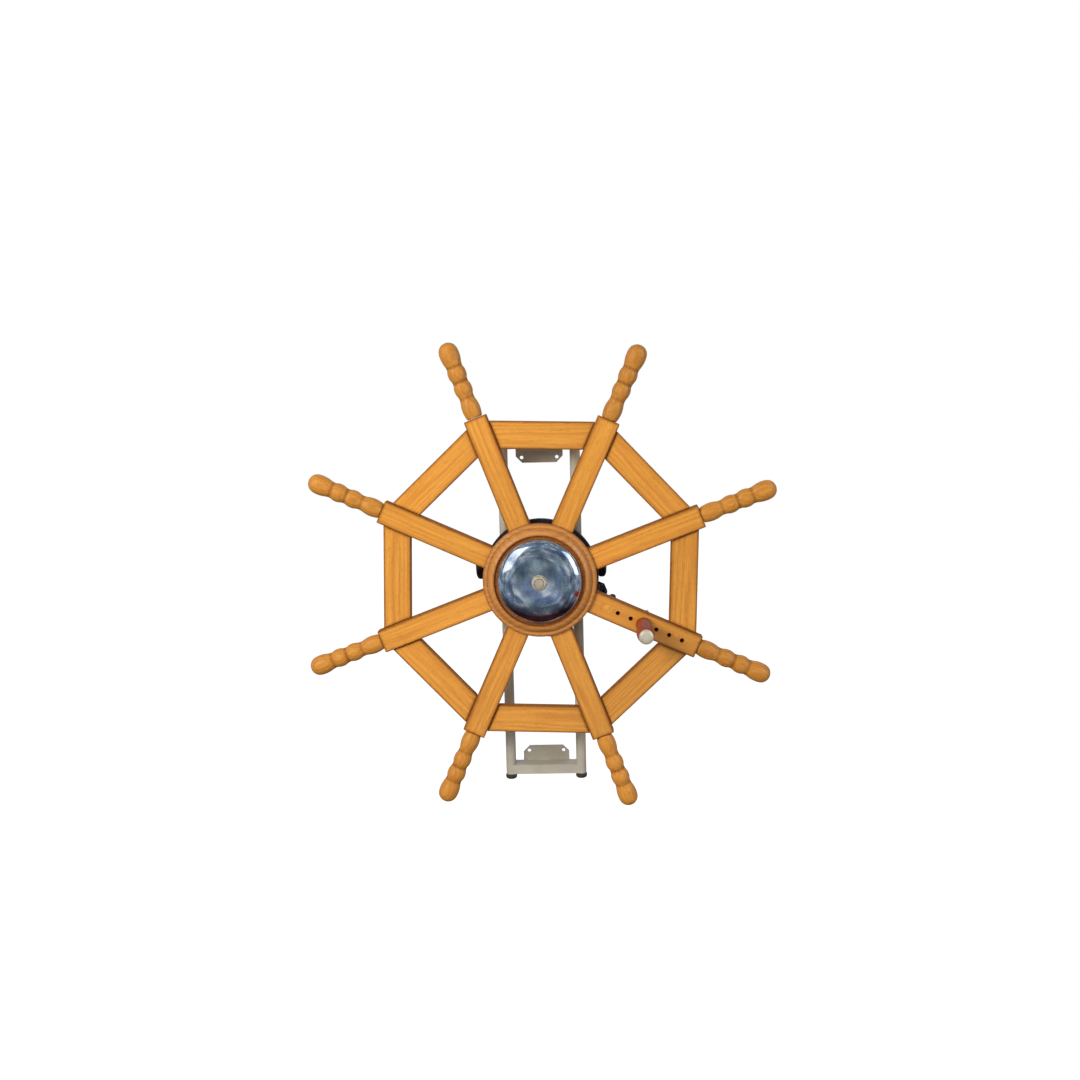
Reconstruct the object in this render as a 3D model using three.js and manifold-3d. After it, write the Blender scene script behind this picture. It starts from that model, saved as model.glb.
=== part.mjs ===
// A ship's wheel on a wall frame: a wooden wheel with eight spokes, eight straight rim boards and
// eight turned handles turns on a spindle. The spindle runs in a carriage that slides up and down
// two upright tubes. Two side knobs lock the carriage, a third presses a lined shoe on a brake
// drum behind the hub, and a hand grip bolts into any of six holes along one spoke.
//
// Units are millimetres. +Z is up, +Y points into the wall and the wheel faces -Y. The origin is
// the centre of the upper wall plate's back face.
import * as THREE from "three";
import { mergeVertices } from "three/addons/utils/BufferGeometryUtils.js";
import Module from "manifold-3d";

const wasm = await Module();
wasm.setup();

// ---------------------------------------------------------------- driving dimensions
const GAP = 0.3; // left between pieces that touch
const RUNNING = 0.15; // radial clearance where one piece turns or slides in another

const SPOKES = 8;
const STEP = (2 * Math.PI) / SPOKES;
const FIRST_SPOKE = STEP / 2; // the wheel rests with a gap straight up
const REST_TURN = THREE.MathUtils.degToRad(2); // and turned a little clockwise from there
const WHEEL_R = 457; // 36 inches over the handle tips
const SPOKE_END_R = 314;
const SPOKE_W = 42;
const SPOKE_T = 27;
const RIM_OUT = 286; // from the axis to a rim board's outer edge
const RIM_W = 50;
const RIM_T = 19;
const CORE_R = 52; // from the axis to a flat of the eight-sided core
const TENON = { length: 11, width: 28, thick: 7 };
const DOWEL = { r: 8, length: 28 };

const GRIP_SPOKE = 7; // the spoke at the lower right
const HOLE_R = 3.3;
const BOLT_R = 3;
const HOLES = 6;
const HOLE_PITCH = 25.4;
const FIRST_HOLE = 154;
const GRIP_HOLE = 2; // third hole from the hub

// Depths, all measured from the wall towards the user.
const PLATE_T = 4;
const TUBE_Y = -32;
const CARRIAGE_BACK = -46.3;
const CARRIAGE_FRONT = -51;
const DRUM_BACK = -57;
const DRUM_FRONT = -73;
const REAR_DISC_BACK = DRUM_FRONT - GAP;
const SPOKE_BACK = -88;
const SPOKE_FRONT = SPOKE_BACK - SPOKE_T;
const RING_BACK = SPOKE_FRONT - GAP;
const RING_FRONT = RING_BACK - 20;
const DOME_TOP = RING_FRONT - 15.5;

const HUB_R = 104;
const DOME_R = 75.5;
const DRUM_R = 107;
const SPINDLE_R = 10;

const TUBE_R = 9.5;
const TUBE_WALL = 1.5;
const TUBE_X = 67;
const TUBE_TOP = 36;
const TUBE_LENGTH = 651;
const PLATE_SPACING = 591; // between the centres of the two wall plates
const PLATE = { width: 88, height: 46, chamfer: 12, hole: 3.3, holeX: 33 };
const BAR_H = 18;

const AXIS_Z = -229; // height of the wheel's axis when the carriage rests
const SLEEVE = { r: 14, height: 120 };
const KNOB_Z = 19; // height of the lock knobs above the wheel's axis
const KNOB = { r: 27, back: 100, front: 122 };
const SCREW_R = 4;

// ---------------------------------------------------------------- finishes
const finish = (color, roughness, metalness) =>
  new THREE.MeshStandardMaterial({ color, roughness, metalness });
const wood = finish(0xdc9138, 0.35, 0);
const ringWood = finish(0xcf8433, 0.35, 0);
const gripWood = finish(0xa8521e, 0.4, 0);
const chrome = finish(0xd9dde2, 0.08, 1);
const steel = finish(0xb9bcbc, 0.35, 1);
const framePaint = finish(0xb4ad9c, 0.45, 0.2);
const blackPaint = finish(0x1c1c1e, 0.45, 0.2);
const blackPlastic = finish(0x19191b, 0.5, 0);
const rubber = finish(0x1a1a1a, 0.9, 0);
const bronze = finish(0xa77a3c, 0.4, 1);
const felt = finish(0x5a5348, 0.95, 0);

// ---------------------------------------------------------------- solids
// A closed three.js geometry as a manifold-3d solid.
function solid(geometry) {
  const bare = geometry.index ? geometry.toNonIndexed() : geometry.clone();
  for (const name of Object.keys(bare.attributes)) {
    if (name !== "position") bare.deleteAttribute(name);
  }
  const merged = mergeVertices(bare, 1e-4);
  const index = merged.index.array;
  const triangles = [];
  for (let i = 0; i < index.length; i += 3) {
    const [a, b, c] = index.slice(i, i + 3);
    if (a !== b && b !== c && c !== a) triangles.push(a, b, c);
  }
  return new wasm.Manifold(
    new wasm.Mesh({
      numProp: 3,
      vertProperties: merged.attributes.position.array,
      triVerts: new Uint32Array(triangles),
    }),
  );
}

function geometryOf(body) {
  const out = body.getMesh();
  const g = new THREE.BufferGeometry();
  g.setAttribute("position", new THREE.BufferAttribute(out.vertProperties, 3));
  g.setIndex(new THREE.BufferAttribute(out.triVerts, 1));
  g.computeVertexNormals();
  return g;
}

function add(parent, name, material, body) {
  const mesh = new THREE.Mesh(geometryOf(body), material);
  mesh.name = name;
  parent.add(mesh);
  return mesh;
}

const union = (...bodies) => bodies.reduce((a, b) => a.add(b));
const cut = (body, ...tools) => tools.reduce((a, b) => a.subtract(b), body);

// A box from one corner to the other.
function block([x0, x1], [y0, y1], [z0, z1]) {
  const g = new THREE.BoxGeometry(x1 - x0, y1 - y0, z1 - z0);
  return solid(g.translate((x0 + x1) / 2, (y0 + y1) / 2, (z0 + z1) / 2));
}

// A solid turned about Y from [radius, y] points. The outline closes on itself or on the axis.
function turned(points, segments = 24) {
  let area = 0;
  points.forEach(([r, y], i) => {
    const [r2, y2] = points[(i + 1) % points.length];
    area += r * y2 - r2 * y;
  });
  const open = points[0][0] === 0;
  const outline = open ? points : [...points, points[0]];
  const profile = outline.map(([r, y]) => new THREE.Vector2(r, y));
  if (area < 0) profile.reverse();
  return solid(new THREE.LatheGeometry(profile, segments));
}

// A round bar along X, Y or Z between two places on that axis.
function bar(axis, r, from, to, segments = 24) {
  const length = Math.abs(to - from);
  const g = new THREE.CylinderGeometry(r, r, length, segments);
  if (axis === "x") g.rotateZ(-Math.PI / 2);
  if (axis === "z") g.rotateX(Math.PI / 2);
  const middle = (from + to) / 2;
  g.translate(axis === "x" ? middle : 0, axis === "y" ? middle : 0, axis === "z" ? middle : 0);
  return solid(g);
}

// An outline in X and Z, given depth from yBack forwards to yFront.
function panel(outline, yBack, yFront) {
  const shape = new THREE.Shape(outline.map(([x, z]) => new THREE.Vector2(x, z)));
  const g = new THREE.ExtrudeGeometry(shape, { depth: yBack - yFront, bevelEnabled: false });
  return solid(g.rotateX(Math.PI / 2).translate(0, yBack, 0));
}

function polygon(sides, apothem, turn = 0) {
  const r = apothem / Math.cos(Math.PI / sides);
  return Array.from({ length: sides }, (_, i) => {
    const a = turn + ((i + 0.5) * 2 * Math.PI) / sides;
    return [r * Math.cos(a), r * Math.sin(a)];
  });
}

// A knob with rounded lobes, turned about Y and running from yBack to yFront.
function lobedKnob(r, lobes, yBack, yFront) {
  const points = [];
  const steps = lobes * 6;
  for (let i = 0; i < steps; i++) {
    const a = (i / steps) * 2 * Math.PI;
    const reach = r * (0.86 + 0.14 * Math.cos(lobes * a));
    points.push([reach * Math.cos(a), reach * Math.sin(a)]);
  }
  const depth = yBack - yFront;
  const blank = turned(
    [
      [0, yBack],
      [r * 0.55, yBack],
      [r * 0.9, yBack - depth * 0.35],
      [r, yBack - depth * 0.6],
      [r * 0.93, yBack - depth * 0.85],
      [r * 0.7, yFront],
      [0, yFront],
    ],
    24,
  );
  return panel(points, yBack + 1, yFront - 1).intersect(blank);
}

// ---------------------------------------------------------------- wall frame
const part = new THREE.Group();
const frame = new THREE.Group();
part.add(frame);

// One welded bracket: a flat plate for the wall and a box-section bar across to both tubes.
// side is +1 at the top and -1 at the bottom, where the plate points up instead of down.
function wallBracket(side) {
  const w = PLATE.width / 2;
  const h = PLATE.height / 2;
  const c = PLATE.chamfer;
  const outline = [
    [-w, side * h],
    [-w, -side * (h - c)],
    [-w + c, -side * h],
    [w - c, -side * h],
    [w, -side * (h - c)],
    [w, side * h],
  ];
  if (side > 0) outline.reverse();
  const holes = [-PLATE.holeX, PLATE.holeX].map((x) =>
    bar("y", PLATE.hole, 1, -PLATE_T - 1, 16).translate([x, 0, -side * (h - 10)]),
  );
  const plate = cut(panel(outline, 0, -PLATE_T), ...holes);
  const barFront = TUBE_Y - TUBE_R;
  const low = side * h - (side > 0 ? BAR_H : 0);
  const wall = 2;
  const reach = TUBE_X;
  const box = block([-reach, reach], [barFront, -PLATE_T], [low, low + BAR_H]);
  const inside = block(
    [-reach - 1, reach + 1],
    [barFront + wall, -PLATE_T - wall],
    [low + wall, low + BAR_H - wall],
  );
  const tubes = [-TUBE_X, TUBE_X].map((x) =>
    bar("z", TUBE_R + GAP, -PLATE.height, PLATE.height).translate([x, TUBE_Y, 0]),
  );
  return union(plate, cut(box, inside, ...tubes));
}

add(frame, "upper_wall_bracket", framePaint, wallBracket(1));
add(frame, "lower_wall_bracket", framePaint, wallBracket(-1)).position.z = -PLATE_SPACING;

const TUBE_BOTTOM = TUBE_TOP - TUBE_LENGTH;
const tubeSolid = cut(
  bar("z", TUBE_R, TUBE_BOTTOM, TUBE_TOP),
  bar("z", TUBE_R - TUBE_WALL, TUBE_BOTTOM - 1, TUBE_TOP + 1),
);
// A push-on cap with a rounded end and a stem inside the tube.
const CAP = { r: 10.8, length: 10 };
const STEM_R = TUBE_R - TUBE_WALL - GAP;
const plugSolid = turned(
  [
    [0, -12],
    [STEM_R, -12],
    [STEM_R, GAP],
    [CAP.r, GAP],
    [CAP.r, CAP.length - 4],
    [CAP.r - 3, CAP.length - 0.8],
    [0, CAP.length],
  ],
  24,
).rotate([90, 0, 0]);
for (const [side, x] of [["left", -TUBE_X], ["right", TUBE_X]]) {
  add(frame, side + "_guide_tube", framePaint, tubeSolid).position.set(x, TUBE_Y, 0);
  add(frame, side + "_upper_plug", blackPlastic, plugSolid).position.set(x, TUBE_Y, TUBE_TOP);
  const foot = add(frame, side + "_lower_plug", blackPlastic, plugSolid);
  foot.position.set(x, TUBE_Y, TUBE_BOTTOM);
  foot.rotation.x = Math.PI;
}

// ---------------------------------------------------------------- carriage
const carriage = new THREE.Group();
carriage.position.z = AXIS_Z;
part.add(carriage);

const HOUSING_R = 22;
const carriageOutline = [
  [-78, -52],
  [-62, -62],
  [62, -62],
  [78, -52],
  [78, 52],
  [62, 62],
  [-62, 62],
  [-78, 52],
];
add(
  carriage,
  "carriage_plate",
  blackPaint,
  cut(
    panel(carriageOutline, CARRIAGE_BACK, CARRIAGE_FRONT),
    bar("y", HOUSING_R + GAP, CARRIAGE_BACK + 1, CARRIAGE_FRONT - 1, 32),
  ),
);

// A sleeve on the guide tube, with a boss on its outer side for the lock screw.
const sleeveTube = bar("z", SLEEVE.r, -SLEEVE.height / 2, SLEEVE.height / 2, 28);
const BOSS_END = 28;
const sleeveSolid = cut(
  union(sleeveTube, bar("x", 10, 0, BOSS_END, 20).translate([0, 0, KNOB_Z])),
  bar("z", TUBE_R + RUNNING, -SLEEVE.height, SLEEVE.height, 28),
  bar("x", SCREW_R + GAP, 0, BOSS_END + 1, 16).translate([0, 0, KNOB_Z]),
);

// A clamp screw with a lobed knob, along +X from the pad's back.
function lockKnob(padEnd) {
  const knob = lobedKnob(KNOB.r, 4, 0, KNOB.back - KNOB.front).rotate([0, 0, 90]);
  return union(
    knob.translate([KNOB.back, 0, 0]),
    bar("x", 8, KNOB.back - 4, KNOB.back + 1, 20),
    bar("x", SCREW_R, padEnd + GAP, KNOB.back + 1, 16),
  );
}

const PAD = { start: TUBE_X + TUBE_R + GAP, length: 3.5 };
for (const [side, sign] of [["left", -1], ["right", 1]]) {
  const turn = sign > 0 ? 0 : Math.PI;
  const sleeve = add(carriage, side + "_sleeve", blackPaint, sleeveSolid);
  sleeve.position.set(sign * TUBE_X, TUBE_Y, 0);
  sleeve.rotation.z = turn;
  const pad = bar("x", SCREW_R, PAD.start, PAD.start + PAD.length, 16);
  const padMesh = add(carriage, side + "_lock_pad", bronze, pad);
  const knob = add(carriage, side + "_lock_knob", blackPlastic, lockKnob(PAD.start + PAD.length));
  for (const piece of [padMesh, knob]) {
    piece.position.set(0, TUBE_Y, KNOB_Z);
    piece.rotation.z = turn;
  }
}

// The bearing housing is a tube through the carriage plate, with a flanged bush at each end.
const HOUSING_BACK = -20;
const HOUSING_FRONT = -60;
const BUSH_R = 16;
add(
  carriage,
  "bearing_housing",
  blackPaint,
  turned(
    [
      [BUSH_R + GAP, HOUSING_BACK],
      [HOUSING_R, HOUSING_BACK],
      [HOUSING_R, HOUSING_FRONT],
      [BUSH_R + GAP, HOUSING_FRONT],
    ],
    32,
  ),
);
function bush(flangeFace, direction) {
  const shoulder = flangeFace - direction * 3;
  const end = shoulder - direction * 15;
  return turned(
    [
      [SPINDLE_R + RUNNING, flangeFace],
      [BUSH_R + 4, flangeFace],
      [BUSH_R + 4, shoulder],
      [BUSH_R, shoulder],
      [BUSH_R, end],
      [SPINDLE_R + RUNNING, end],
    ],
    28,
  );
}
add(carriage, "rear_bush", bronze, bush(HOUSING_BACK + 3 + GAP, 1));
add(carriage, "front_bush", bronze, bush(HOUSING_FRONT - 3 - GAP, -1));

// A rubber stop under the carriage meets the lower cross bar.
const BUMP_Z = 119; // from the axis down to the end of the stop
add(
  carriage,
  "bump_stop",
  rubber,
  union(
    bar("z", 9, -BUMP_Z, 20 - BUMP_Z, 20).translate([14, TUBE_Y, 0]),
    bar("z", 5, 19 - BUMP_Z, -62 - GAP, 16).translate([14, TUBE_Y, 0]),
    block([2, 26], [-53, -26], [-66, -62 - GAP]),
  ),
);

// Brake parts lie along the grip spoke's line and are made along +X.
const BRAKE_TURN = -(FIRST_SPOKE + GRIP_SPOKE * STEP);
const BRAKE_Y = (DRUM_BACK + DRUM_FRONT) / 2;
const brake = new THREE.Group();
brake.rotation.y = BRAKE_TURN;
carriage.add(brake);

const LUG = { from: 120, to: 125, half: 18 };
const ARM_HALF = 28; // half the width of the bracket's flat arm
const bracketOutline = [
  [44, -ARM_HALF],
  [LUG.to - 10, -ARM_HALF],
  [LUG.to, -LUG.half],
  [LUG.to, LUG.half],
  [LUG.to - 10, ARM_HALF],
  [44, ARM_HALF],
];
add(
  brake,
  "brake_bracket",
  blackPaint,
  cut(
    union(
      panel(bracketOutline, CARRIAGE_FRONT - GAP, CARRIAGE_FRONT - GAP - 4),
      block([LUG.from, LUG.to], [BRAKE_Y - 9, CARRIAGE_FRONT - GAP], [-LUG.half, LUG.half]),
    ),
    bar("x", SCREW_R + GAP, LUG.from - 1, LUG.to + 1, 16).translate([0, BRAKE_Y, 0]),
  ),
);

// The lining and the shoe behind it curve round the drum.
function drumArc(inner, outer, half, thick) {
  const sector = block([0, outer + 1], [BRAKE_Y - thick / 2, BRAKE_Y + thick / 2], [-half, half]);
  const ring = turned(
    [
      [inner, BRAKE_Y - thick],
      [outer, BRAKE_Y - thick],
      [outer, BRAKE_Y + thick],
      [inner, BRAKE_Y + thick],
    ],
    72,
  );
  return sector.intersect(ring);
}
const LINING_R = DRUM_R + GAP;
const SHOE_R = LINING_R + 4;
const SHOE_T = 5;
const BRAKE_KNOB = { r: 21, from: 128, to: 146 };
add(brake, "brake_lining", felt, drumArc(LINING_R, SHOE_R - GAP, 24, 14));
add(brake, "brake_shoe", blackPaint, drumArc(SHOE_R, SHOE_R + SHOE_T, 26, 14));
add(
  brake,
  "brake_knob",
  blackPlastic,
  union(
    lobedKnob(BRAKE_KNOB.r, 5, 0, BRAKE_KNOB.from - BRAKE_KNOB.to)
      .rotate([0, 0, 90])
      .translate([BRAKE_KNOB.from, BRAKE_Y, 0]),
    bar("x", SCREW_R, SHOE_R + SHOE_T + GAP, BRAKE_KNOB.from + 1, 16).translate([0, BRAKE_Y, 0]),
  ),
);

// ---------------------------------------------------------------- wheel
const wheel = new THREE.Group();
wheel.rotation.y = REST_TURN;
carriage.add(wheel);

const holeAt = (r) => bar("y", HOLE_R, SPOKE_BACK + 1, SPOKE_FRONT - 1, 16).translate([r, 0, 0]);
const RIM_FRONT = SPOKE_FRONT + 6;
const RIM_MID = RIM_FRONT + RIM_T / 2;

// A spoke along +X: a flat board with two mortises for the rim boards' tenons and a dowel hole.
// The rim boards meet its sides, so the mortises lie across it at the rim board's own angle.
function spokeBoard(holes) {
  const half = SPOKE_W / 2;
  const corner = 2;
  const outline = [
    [CORE_R + GAP, -half],
    [SPOKE_END_R - corner, -half],
    [SPOKE_END_R, -half + corner],
    [SPOKE_END_R, half - corner],
    [SPOKE_END_R - corner, half],
    [CORE_R + GAP, half],
  ];
  const middleY = (SPOKE_BACK + SPOKE_FRONT) / 2;
  const dowelHole = bar("x", DOWEL.r + GAP, SPOKE_END_R - DOWEL.length - 1, SPOKE_END_R + 1, 16);
  const mortises = [-1, 1].map((side) => tenonBlock(side, GAP, TENON.length + GAP));
  const board = cut(
    panel(outline, SPOKE_BACK, SPOKE_FRONT),
    dowelHole.translate([0, middleY, 0]),
    ...mortises,
  );
  return holes ? cut(board, ...holes.map(holeAt)) : board;
}

// The tenon of the rim board on one side of a spoke, in that spoke's own axes.
function tenonBlock(side, extra, length) {
  const middle = RIM_OUT - RIM_W / 2;
  const reach = middle * Math.tan(STEP / 2);
  const face = SPOKE_W / 2 / Math.cos(STEP / 2) + (TENON.width / 2) * Math.tan(STEP / 2);
  const t = TENON.thick / 2 + extra;
  const w = TENON.width / 2 + extra;
  const body = block([middle - w, middle + w], [RIM_MID - t, RIM_MID + t], [reach - face, reach]);
  // The rim board stands half a step round from the spoke, and the tenon is trimmed to length.
  const turnedIn = side < 0 ? body : body.mirror([0, 0, 1]);
  const degrees = (side * STEP * 90) / Math.PI;
  const inSpoke = turnedIn.rotate([0, -degrees, 0]);
  const z0 = SPOKE_W / 2 - length;
  const keep = side > 0 ? [z0, SPOKE_W / 2 + 40] : [-SPOKE_W / 2 - 40, -z0];
  return inSpoke.intersect(block([0, WHEEL_R], [-200, 0], keep));
}

// A rim board along its middle line, standing at +X and running in Z between two spokes.
function rimBoard() {
  const half = RIM_OUT * Math.tan(STEP / 2) + 20;
  let body = block([RIM_OUT - RIM_W, RIM_OUT], [RIM_FRONT, RIM_FRONT + RIM_T], [-half, half]);
  for (const side of [-1, 1]) {
    // Everything past the spoke's side face is cut away, then the tenon is put back.
    const waste = block([0, WHEEL_R], [-200, 0], [-SPOKE_W / 2 - GAP, 200]);
    const placed = (side < 0 ? waste.mirror([0, 0, 1]) : waste).rotate([0, -side * 22.5, 0]);
    body = body.subtract(placed);
  }
  for (const side of [-1, 1]) {
    const tenon = tenonBlock(-side, 0, TENON.length).rotate([0, -side * 22.5, 0]);
    body = body.add(tenon);
  }
  return body;
}

// The turned handle with its dowel, made along +Y and laid along +X.
const HANDLE = [
  [0, -DOWEL.length + 1],
  [DOWEL.r, -DOWEL.length + 1],
  [DOWEL.r, GAP],
  [13.2, GAP],
  [15.6, 9],
  [16.4, 22],
  [13.6, 38],
  [15.8, 54],
  [13.9, 68],
  [16.6, 83],
  [14.6, 97],
  [17.6, 112],
  [18.2, 123],
  [15.6, 135],
  [8.6, 142],
  [0, 143],
];
const handleSolid = turned(HANDLE, 14).rotate([0, 0, -90]);

const spokeSolid = spokeBoard();
const holes = Array.from({ length: HOLES }, (_, i) => FIRST_HOLE + i * HOLE_PITCH);
const drilledSpoke = spokeBoard(holes);
const rimSolid = rimBoard();
const SPOKE_MID = (SPOKE_BACK + SPOKE_FRONT) / 2;
for (let i = 0; i < SPOKES; i++) {
  const angle = FIRST_SPOKE + i * STEP;
  const arm = new THREE.Group();
  arm.rotation.y = -angle;
  wheel.add(arm);
  add(arm, "spoke_" + (i + 1), wood, i === GRIP_SPOKE ? drilledSpoke : spokeSolid);
  add(arm, "handle_" + (i + 1), wood, handleSolid).position.set(SPOKE_END_R, SPOKE_MID, 0);
  add(wheel, "rim_board_" + (i + 1), wood, rimSolid).rotation.y = -(angle + STEP / 2);
}

// Hub: an eight-sided core between the spoke ends, clamped by a turned ring and a rear disc.
const coreHole = bar("y", SPINDLE_R + GAP, 0, -200, 28);
add(
  wheel,
  "hub_core",
  wood,
  cut(panel(polygon(SPOKES, CORE_R, FIRST_SPOKE), SPOKE_BACK, SPOKE_FRONT), coreHole),
);
add(
  wheel,
  "hub_front_ring",
  ringWood,
  turned(
    [
      [SPINDLE_R + GAP, RING_BACK],
      [HUB_R, RING_BACK],
      [HUB_R, RING_BACK - 5],
      [HUB_R - 3, RING_BACK - 8],
      [HUB_R - 6, RING_BACK - 8.5],
      [HUB_R - 8, RING_BACK - 13],
      [HUB_R - 14, RING_BACK - 17.5],
      [HUB_R - 22, RING_FRONT],
      [SPINDLE_R + GAP, RING_FRONT],
    ],
    44,
  ),
);
add(
  wheel,
  "hub_rear_disc",
  wood,
  turned(
    [
      [SPINDLE_R + GAP, REAR_DISC_BACK],
      [92, REAR_DISC_BACK],
      [96, REAR_DISC_BACK - 4],
      [96, SPOKE_BACK + GAP],
      [SPINDLE_R + GAP, SPOKE_BACK + GAP],
    ],
    40,
  ),
);
const WEB_T = 4;
add(
  wheel,
  "brake_drum",
  blackPaint,
  turned(
    [
      [SPINDLE_R + GAP, DRUM_FRONT],
      [DRUM_R, DRUM_FRONT],
      [DRUM_R, DRUM_BACK],
      [DRUM_R - 4, DRUM_BACK],
      [DRUM_R - 4, DRUM_FRONT + WEB_T],
      [SPINDLE_R + GAP, DRUM_FRONT + WEB_T],
    ],
    48,
  ),
);

// The spindle's flange carries the drum, and its stepped nose holds the clamp nut and the dome.
const FLANGE = { r: 38, back: HOUSING_FRONT - 3 - 2 * GAP, front: DRUM_FRONT + WEB_T + GAP };
const NOSE = { shoulder: RING_FRONT - 12.5, end: DOME_TOP - 12, r: 8 };
const SPINDLE_BACK = -4;
add(
  wheel,
  "spindle",
  steel,
  turned(
    [
      [0, SPINDLE_BACK],
      [SPINDLE_R, SPINDLE_BACK],
      [SPINDLE_R, FLANGE.back],
      [FLANGE.r, FLANGE.back],
      [FLANGE.r, FLANGE.front],
      [SPINDLE_R, FLANGE.front],
      [SPINDLE_R, NOSE.shoulder],
      [NOSE.r, NOSE.shoulder],
      [NOSE.r, NOSE.end],
      [0, NOSE.end],
    ],
    28,
  ),
);
const REAR_NUT = { from: SPINDLE_BACK - 2, to: HOUSING_BACK + 3 + 2 * GAP };
add(
  wheel,
  "spindle_rear_nut",
  steel,
  cut(panel(polygon(6, 15), REAR_NUT.from, REAR_NUT.to), coreHole),
);
add(
  wheel,
  "hub_clamp_washer",
  steel,
  cut(bar("y", 26, RING_FRONT - GAP, RING_FRONT - 3, 28), coreHole),
);
add(
  wheel,
  "hub_clamp_nut",
  steel,
  cut(panel(polygon(6, 15), RING_FRONT - 3 - GAP, RING_FRONT - 11.5), coreHole),
);

// The chrome dome: a steep side, a rounded shoulder and a shallow crown.
const DOME_WALL = 1.2;
const domeOuter = [
  [DOME_R, RING_FRONT - GAP],
  [DOME_R - 2, RING_FRONT - 4],
  [DOME_R - 7, RING_FRONT - 9],
  [DOME_R - 16, RING_FRONT - 12],
  [DOME_R - 34, RING_FRONT - 14.3],
  [DOME_R - 56, DOME_TOP],
  [NOSE.r + GAP, DOME_TOP],
];
const domeInner = domeOuter.map(([r, y], i) => [
  i === domeOuter.length - 1 ? r : r - DOME_WALL,
  i === 0 ? y : y + DOME_WALL,
]);
add(wheel, "hub_dome", chrome, turned([...domeOuter, ...domeInner.reverse()], 44));
add(
  wheel,
  "dome_nut",
  steel,
  cut(
    panel(polygon(6, 12), DOME_TOP - GAP, DOME_TOP - 11).intersect(
      turned([[0, DOME_TOP], [14.5, DOME_TOP], [14.5, DOME_TOP - 8], [11.5, DOME_TOP - 11], [0, DOME_TOP - 11]]),
    ),
    bar("y", NOSE.r + GAP, 0, -200, 20),
  ),
);

// ---------------------------------------------------------------- hand grip
const gripArm = new THREE.Group();
gripArm.rotation.y = BRAKE_TURN;
wheel.add(gripArm);
const GRIP_R = FIRST_HOLE + GRIP_HOLE * HOLE_PITCH;
const GRIP_BACK = SPOKE_FRONT - 5;
const GRIP_FRONT = GRIP_BACK - 118;
const bolt = turned(
  [
    [0, SPOKE_BACK + 16],
    [BOLT_R, SPOKE_BACK + 16],
    [BOLT_R, SPOKE_FRONT - GAP],
    [11, SPOKE_FRONT - GAP],
    [11, GRIP_BACK + GAP],
    [BOLT_R, GRIP_BACK + GAP],
    [BOLT_R, GRIP_FRONT - GAP],
    [13, GRIP_FRONT - GAP],
    [13, GRIP_FRONT - 4],
    [9, GRIP_FRONT - 8],
    [0, GRIP_FRONT - 9],
  ],
  20,
);
const handGrip = turned(
  [
    [BOLT_R + RUNNING, GRIP_BACK],
    [12, GRIP_BACK],
    [14.5, GRIP_BACK - 8],
    [13.2, GRIP_BACK - 24],
    [15.5, GRIP_BACK - 60],
    [16, GRIP_BACK - 90],
    [14.6, GRIP_FRONT + 6],
    [13, GRIP_FRONT],
    [BOLT_R + RUNNING, GRIP_FRONT],
  ],
  24,
);
const WING = { back: SPOKE_BACK + 13, front: SPOKE_BACK + GAP };
const wingNut = cut(
  union(
    bar("y", 9, WING.front, WING.back - 2, 20),
    block([-2.5, 2.5], [WING.front + 4, WING.back], [-21, 21]),
  ),
  bar("y", BOLT_R + GAP, 0, -200, 16),
);
for (const [name, material, body] of [
  ["grip_bolt", steel, bolt],
  ["hand_grip", gripWood, handGrip],
  ["grip_wing_nut", steel, wingNut],
]) {
  add(gripArm, name, material, body).position.x = GRIP_R;
}

export default part;
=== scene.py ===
"""A wooden ship's wheel on its wall frame: fine meshes, finishes and a studio round a fixed frame.

Every length is in metres. +X is right, +Y goes into the wall and +Z is up.
"""

import math
import random

import bmesh
import bpy
from mathutils import Matrix, Vector


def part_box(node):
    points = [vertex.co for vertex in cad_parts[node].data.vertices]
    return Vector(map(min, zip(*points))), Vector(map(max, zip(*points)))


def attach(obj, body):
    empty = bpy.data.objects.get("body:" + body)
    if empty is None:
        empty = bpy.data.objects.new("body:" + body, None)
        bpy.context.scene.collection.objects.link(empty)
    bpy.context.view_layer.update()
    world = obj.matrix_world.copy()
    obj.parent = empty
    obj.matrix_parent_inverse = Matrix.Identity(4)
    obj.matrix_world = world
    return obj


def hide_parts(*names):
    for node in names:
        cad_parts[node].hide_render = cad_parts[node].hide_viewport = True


bl_info = {
    "name": "Wall Ship's Wheel",
    "version": (1, 0, 0),
    "blender": (4, 5, 0),
    "location": "View3D > Sidebar > Ship's Wheel",
    "description": "Builds a wooden ship's wheel on its wall frame, with its finishes and a studio",
    "category": "Add Mesh",
}

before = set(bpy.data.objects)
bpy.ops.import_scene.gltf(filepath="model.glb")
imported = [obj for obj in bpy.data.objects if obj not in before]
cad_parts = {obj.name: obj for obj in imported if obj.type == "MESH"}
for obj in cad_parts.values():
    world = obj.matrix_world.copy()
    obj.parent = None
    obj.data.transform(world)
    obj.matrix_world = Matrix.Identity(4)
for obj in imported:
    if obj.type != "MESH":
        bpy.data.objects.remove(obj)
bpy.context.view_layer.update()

MM = 0.001
STEP = math.tau / 8  # from one spoke to the next
GRIP_SPOKE = 8  # the spoke with the row of grip holes
HOLES = 6
GRIP_HOLE = 2  # the hole that holds the grip, counted from 0 nearest the hub
HOLE_PITCH = 25.4 * MM
HOLE_R = 3.3 * MM
BOLT_R = 3 * MM
HUB_BORE = 10.3 * MM
DOME_BORE = 8.3 * MM
GLUE_GAP = 0.3 * MM
TUBE_WALL = 1.5 * MM
SCREW_R = 4 * MM
LOCK_PITCH = 1.25 * MM
BRAKE_PITCH = 1.5 * MM
TOUCH = 0.01 * MM  # closer than this, two places are the same
ON_AXIS = 0.001 * MM  # a profile point with a smaller radius is on the axis


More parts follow.
